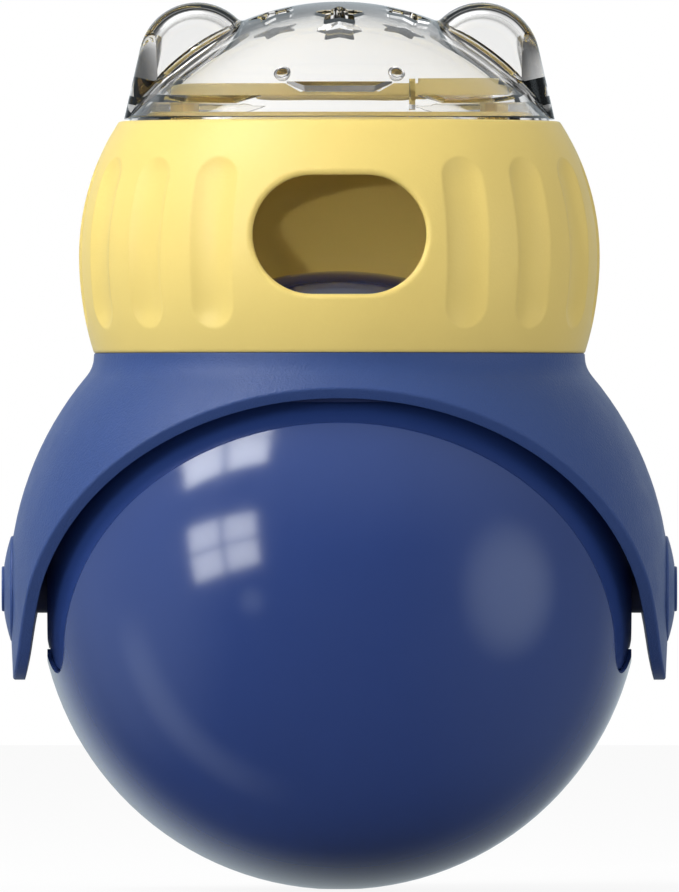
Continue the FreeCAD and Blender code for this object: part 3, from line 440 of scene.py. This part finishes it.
detail_screws("ball_screws", "ball", out_of_ball)
detail_screws("deck_screws", "head", lambda centre: Vector((0, 0, -1)))
detail_screws("ballast_screw", "ball", lambda centre: Vector((0, 0, 1)))
for side in SIDES:
    detail_screws("axle_screw_" + side, "head", towards_middle)


# Floor

FLOOR_RADIUS = 1.6
FLOOR_SEGMENTS = 96
FLOOR_DROP = 0.0002
FLOOR_ROUGHNESS = 0.6

# What the floor gives back to other things, and the share of plain white for the camera
FLOOR_GREY = (0.55, 0.55, 0.56, 1)
FLOOR_WHITE = 0.90


def blend_shaders(tree, factor, first, second):
    node = tree.nodes.new("ShaderNodeMixShader")
    tree.links.new(factor, node.inputs["Fac"])
    tree.links.new(first, node.inputs[1])
    tree.links.new(second, node.inputs[2])
    return node.outputs["Shader"]


def floor_material():
    """Nearly white to the camera, which still sees shadows, and open to mirrored rays."""
    material, tree, shader = new_material("floor")
    path = tree.nodes.new("ShaderNodeLightPath").outputs
    pale = mix(tree, path["Is Camera Ray"], FLOOR_GREY, WHITE, "RGBA")
    tree.links.new(pale, shader.inputs["Base Color"])
    shader.inputs["Roughness"].default_value = FLOOR_ROUGHNESS
    shader.inputs["Specular IOR Level"].default_value = 0.0
    glow = tree.nodes.new("ShaderNodeEmission").outputs["Emission"]
    clear = tree.nodes.new("ShaderNodeBsdfTransparent").outputs["BSDF"]
    share = calculate(tree, "MULTIPLY", path["Is Camera Ray"], FLOOR_WHITE)
    lit = blend_shaders(tree, share, shader.outputs["BSDF"], glow)
    surface = blend_shaders(tree, path["Is Glossy Ray"], lit, clear)
    tree.links.new(surface, tree.nodes["Material Output"].inputs["Surface"])
    return material


def make_floor():
    """Round floor just below the ball, large enough to fill the picture."""
    shape = bmesh.new()
    bmesh.ops.create_circle(shape, cap_ends=True, segments=FLOOR_SEGMENTS, radius=FLOOR_RADIUS)
    mesh = bpy.data.meshes.new("floor")
    shape.to_mesh(mesh)
    shape.free()
    floor = bpy.data.objects.new("floor", mesh)
    floor.location.z = -FLOOR_DROP
    bpy.context.scene.collection.objects.link(floor)
    mesh.materials.append(floor_material())


# World, with a level of its own for each kind of ray. x, y and z are the ray's direction

# Each smooth step below: where it starts and ends, and its value before and after
ALL_ROUND = (-1.0, 1.0, 0.48, 0.47)

# Rays that leave clear plastic, by the size of y, and those scattered on their way, by z and x
FACING = (0.28, 0.86, 0.17, 1.0)
AT_TOP = (0.40, 0.90, 0.0, 1.0)
TOP_FROM_LEFT = (-0.60, 0.40, 2.4, 0.8)
BELOW_TOP = (0.40, 0.90, 1.0, 0.0)
SIDE_FROM_LEFT = (-0.20, 0.70, 0.10, 0.9)

# Mirrored rays: a light behind that is weaker at the lower right, one above and one each side
BEHIND = (0.45, 0.97, 0.0, 0.62)
BEHIND_FROM_LEFT = (-0.45, 0.30, 1.0, 0.35)
BEHIND_FROM_BELOW = (-0.35, 0.10, 0.35, 1.0)
ABOVE = (0.2, 0.95, 0.0, 0.40)
AT_RIGHT = (0.3, 1.0, 0.07, 0.20)
AT_LEFT = (-1.0, -0.60, 0.36, 0.0)

# Mirrored rays: a narrow band of light at the lower left, across the plane of the pivot
BAND = (0.03, 0.20, 0.40, 0.0)
BAND_SHIFT = 0.02
BAND_FROM_LEFT = (-0.75, -0.15, 1.0, 0.0)
BAND_FROM_BELOW = (-0.35, -0.05, 1.0, 0.0)

# Mirrored rays: round soft lights, with a direction and the step along it
RIGHT_GLOW = ((0.935, -0.358, 0.0), (0.906, 0.996, 0.0, 0.8))
LEFT_GLOW = ((-0.554, -0.828, -0.07), (0.9925, 0.9995, 0.0, 0.7))

MIRRORED_TINT = (0.82, 0.93, 1.0, 1)


def clear_level(tree, path, x, y, z):
    """Level for rays that leave clear plastic: bright before and behind, dark at the sides.

    Rays that were scattered or turned back on their way get light from above and the right.
    """
    facing = smooth_step(tree, calculate(tree, "ABSOLUTE", y), *FACING)
    from_top = calculate(tree, "MULTIPLY", smooth_step(tree, z, *AT_TOP),
                         smooth_step(tree, x, *TOP_FROM_LEFT))
    from_side = calculate(tree, "MULTIPLY", smooth_step(tree, z, *BELOW_TOP),
                          smooth_step(tree, x, *SIDE_FROM_LEFT))
    in_clear = calculate(tree, "MINIMUM", path["Transmission Depth"], 1.0)
    turned_back = calculate(tree, "MULTIPLY", path["Glossy Depth"], in_clear)
    bounces = calculate(tree, "ADD", path["Diffuse Depth"], turned_back)
    scattered = calculate(tree, "MINIMUM", bounces, 1.0)
    return mix(tree, scattered, facing, calculate(tree, "ADD", from_top, from_side))


def round_glow(tree, ray, direction, step):
    """Round soft light in one direction."""
    along = 0.0
    for part, share in zip(ray, direction):
        along = calculate(tree, "MULTIPLY_ADD", part, share, along)
    return smooth_step(tree, along, *step)


def mirrored_level(tree, x, y, z):
    """Level for mirrored rays: the sum of the soft lights of a studio."""
    weaker = calculate(tree, "MAXIMUM", smooth_step(tree, x, *BEHIND_FROM_LEFT),
                       smooth_step(tree, z, *BEHIND_FROM_BELOW))
    behind = calculate(tree, "MULTIPLY", smooth_step(tree, y, *BEHIND), weaker)
    above = smooth_step(tree, z, *ABOVE)
    aside = calculate(tree, "ADD", smooth_step(tree, x, *AT_RIGHT), smooth_step(tree, x, *AT_LEFT))
    lower_left = calculate(tree, "MULTIPLY", smooth_step(tree, x, *BAND_FROM_LEFT),
                           smooth_step(tree, z, *BAND_FROM_BELOW))
    off_band = calculate(tree, "ABSOLUTE", calculate(tree, "ADD", y, BAND_SHIFT))
    level = calculate(tree, "MULTIPLY", smooth_step(tree, off_band, *BAND), lower_left)
    glows = [round_glow(tree, (x, y, z), *values) for values in (RIGHT_GLOW, LEFT_GLOW)]
    for part in (behind, above, aside, *glows):
        level = calculate(tree, "ADD", level, part)
    return level


def make_world():
    """White to the camera, and a studio's soft light to all that is lit or mirrored."""
    world = bpy.data.worlds.new("studio")
    bpy.context.scene.world = world
    world.use_nodes = True
    tree = world.node_tree
    tree.nodes.clear()
    path = tree.nodes.new("ShaderNodeLightPath").outputs
    split = tree.nodes.new("ShaderNodeSeparateXYZ")
    coordinates = tree.nodes.new("ShaderNodeTexCoord")
    tree.links.new(coordinates.outputs["Generated"], split.inputs["Vector"])
    x, y, z = split.outputs
    level = smooth_step(tree, x, *ALL_ROUND)
    level = mix(tree, path["Is Glossy Ray"], level, mirrored_level(tree, x, y, z))
    level = mix(tree, path["Is Transmission Ray"], level, clear_level(tree, path, x, y, z))
    level = mix(tree, path["Is Camera Ray"], level, 1.0)
    only_mirrored = calculate(tree, "SUBTRACT", path["Is Glossy Ray"], path["Is Transmission Ray"])
    tinted = calculate(tree, "MAXIMUM", only_mirrored, 0.0)
    back = tree.nodes.new("ShaderNodeBackground")
    tree.links.new(level, back.inputs["Strength"])
    tree.links.new(mix(tree, tinted, WHITE, MIRRORED_TINT, "RGBA"), back.inputs["Color"])
    out = tree.nodes.new("ShaderNodeOutputWorld")
    tree.links.new(back.outputs["Background"], out.inputs["Surface"])


# Lamps

COOL = (0.97, 0.99, 1.0)
NEUTRAL = (1.0, 0.99, 1.0)
WARM = (1.0, 0.97, 0.93)
WARMER = (1.0, 0.97, 0.90)

# The two window lamps: panes each way, bars as shares of a pane, and the light left in them
PANES = 2.0
BAR_WIDTH = 0.05
BAR_SOFTNESS = 0.06
BAR_LEVEL = 0.35

# The narrow lamp that shines through the lid onto the chamber's back wall
INNER_TARGET = BALL_CENTRE + Vector((0.019, 0.026, 0.049))
INNER_DIRECTION = Vector((-0.35, -0.80, 0.51)).normalized()
INNER_DISTANCE = 0.6
INNER_CONE_DEGREES = 1.9
INNER_RADIUS = 0.045
INNER_POWER = 95.0


def hang_lamp(name, kind, target, direction, distance, roll=0.0):
    """Lamp that faces a target from a direction, turned round its own axis by roll degrees."""
    lamp = bpy.data.lights.new(name, kind)
    holder = bpy.data.objects.new(name, lamp)
    bpy.context.scene.collection.objects.link(holder)
    holder.location = target + direction * distance
    holder.rotation_mode = "QUATERNION"
    turn = Matrix.Rotation(math.radians(roll), 4, "Z").to_quaternion()
    holder.rotation_quaternion = direction.to_track_quat("Z", "Y") @ turn
    return holder, lamp


def softbox(name, direction, distance, size, radiance, colour, roll=0.0):
    """Rectangular lamp that faces the ball's centre."""
    away = Vector(direction).normalized()
    holder, lamp = hang_lamp(name, "AREA", BALL_CENTRE, away, distance, roll)
    lamp.shape = "RECTANGLE"
    lamp.size, lamp.size_y = size
    lamp.energy = radiance * math.pi * lamp.size * lamp.size_y
    lamp.color = colour
    return holder


def add_panes(holder):
    """Darker glazing bars across a lamp, so that it mirrors as a window."""
    lamp = holder.data
    lamp.use_nodes = True
    tree = lamp.node_tree
    place = tree.nodes.new("ShaderNodeNewGeometry").outputs["Parametric"]
    split = tree.nodes.new("ShaderNodeSeparateXYZ")
    tree.links.new(place, split.inputs["Vector"])
    level = 1.0
    for axis in ("X", "Y"):
        in_pane = calculate(tree, "FRACT", calculate(tree, "MULTIPLY", split.outputs[axis], PANES))
        off_middle = calculate(tree, "ABSOLUTE", calculate(tree, "SUBTRACT", in_pane, 0.5))
        bar_start = 0.5 - BAR_WIDTH
        pane = smooth_step(tree, off_middle, bar_start - BAR_SOFTNESS, bar_start, 1.0, BAR_LEVEL)
        level = calculate(tree, "MULTIPLY", pane, level)
    tree.links.new(level, tree.nodes["Emission"].inputs["Strength"])


def light_through_lid():
    holder, lamp = hang_lamp("through_lid", "SPOT", INNER_TARGET, INNER_DIRECTION, INNER_DISTANCE)
    lamp.spot_size = math.radians(INNER_CONE_DEGREES)
    lamp.spot_blend = 1.0
    lamp.shadow_soft_size = INNER_RADIUS
    lamp.energy = INNER_POWER
    lamp.color = WARMER
    return holder


def all_but(name, node_name):
    """Collection for light linking that leaves one piece out."""
    others = bpy.data.collections.new(name)
    others.objects.link(NODES[node_name])
    others.collection_objects[0].light_linking.link_state = "EXCLUDE"
    return others


def make_lamps():
    """Two windows at the left, one lamp overhead, a fill at the right and one through the lid."""
    upper = softbox("upper_window", direction=(-0.57, -0.28, 0.72), distance=1.0,
                    size=(0.56, 0.38), radiance=7.4, colour=COOL, roll=38.0)
    lower = softbox("lower_window", direction=(-0.66, -0.64, 0.25), distance=1.0,
                    size=(0.50, 0.36), radiance=6.0, colour=COOL, roll=18.0)
    overhead = softbox("overhead", direction=(-0.37, -0.07, 0.93), distance=1.1,
                       size=(0.30, 0.30), radiance=5.0, colour=NEUTRAL, roll=20.0)
    right = softbox("right_fill", direction=(0.94, -0.35, -0.02), distance=1.2,
                    size=(0.9, 1.0), radiance=1.7, colour=WARM)
    inner = light_through_lid()
    right.visible_glossy = False
    for holder in (upper, lower, overhead):
        holder.light_linking.receiver_collection = all_but(holder.name + "_lights", "lid")
    inner.light_linking.blocker_collection = all_but("stops_the_inner_lamp", "lid")
    add_panes(upper)
    add_panes(lower)


# Camera, where the photo's stood: sizes of the picture in pixels, and the ball's place in it

PHOTO_WIDTH = 679
PHOTO_HEIGHT = 892
PIXEL_MM = 0.133
CENTRE_COLUMN = 339.4
BALL_CENTRE_ROW = 588.8
LENS = 1000.0
SENSOR = 36.0
CLIP_START = 0.1
CLIP_END = 20.0


def make_camera():
    """Long lens at eye level, so that the ball's centre falls on its place in the picture."""
    data = bpy.data.cameras.new("camera")
    data.sensor_fit = "AUTO"
    data.sensor_width = SENSOR
    data.lens = LENS
    data.clip_start = CLIP_START
    data.clip_end = CLIP_END
    distance = PHOTO_HEIGHT * PIXEL_MM * MM * LENS / SENSOR
    right = (PHOTO_WIDTH / 2 - CENTRE_COLUMN) * PIXEL_MM * MM
    up = (BALL_CENTRE_ROW - PHOTO_HEIGHT / 2) * PIXEL_MM * MM
    camera = bpy.data.objects.new("camera", data)
    bpy.context.scene.collection.objects.link(camera)
    camera.location = BALL_CENTRE + Vector((right, -distance, up))
    camera.rotation_euler = (math.radians(90), 0, 0)
    bpy.context.scene.camera = camera


make_floor()
make_world()
make_lamps()
make_camera()
bpy.context.scene.view_settings.view_transform = "Standard"
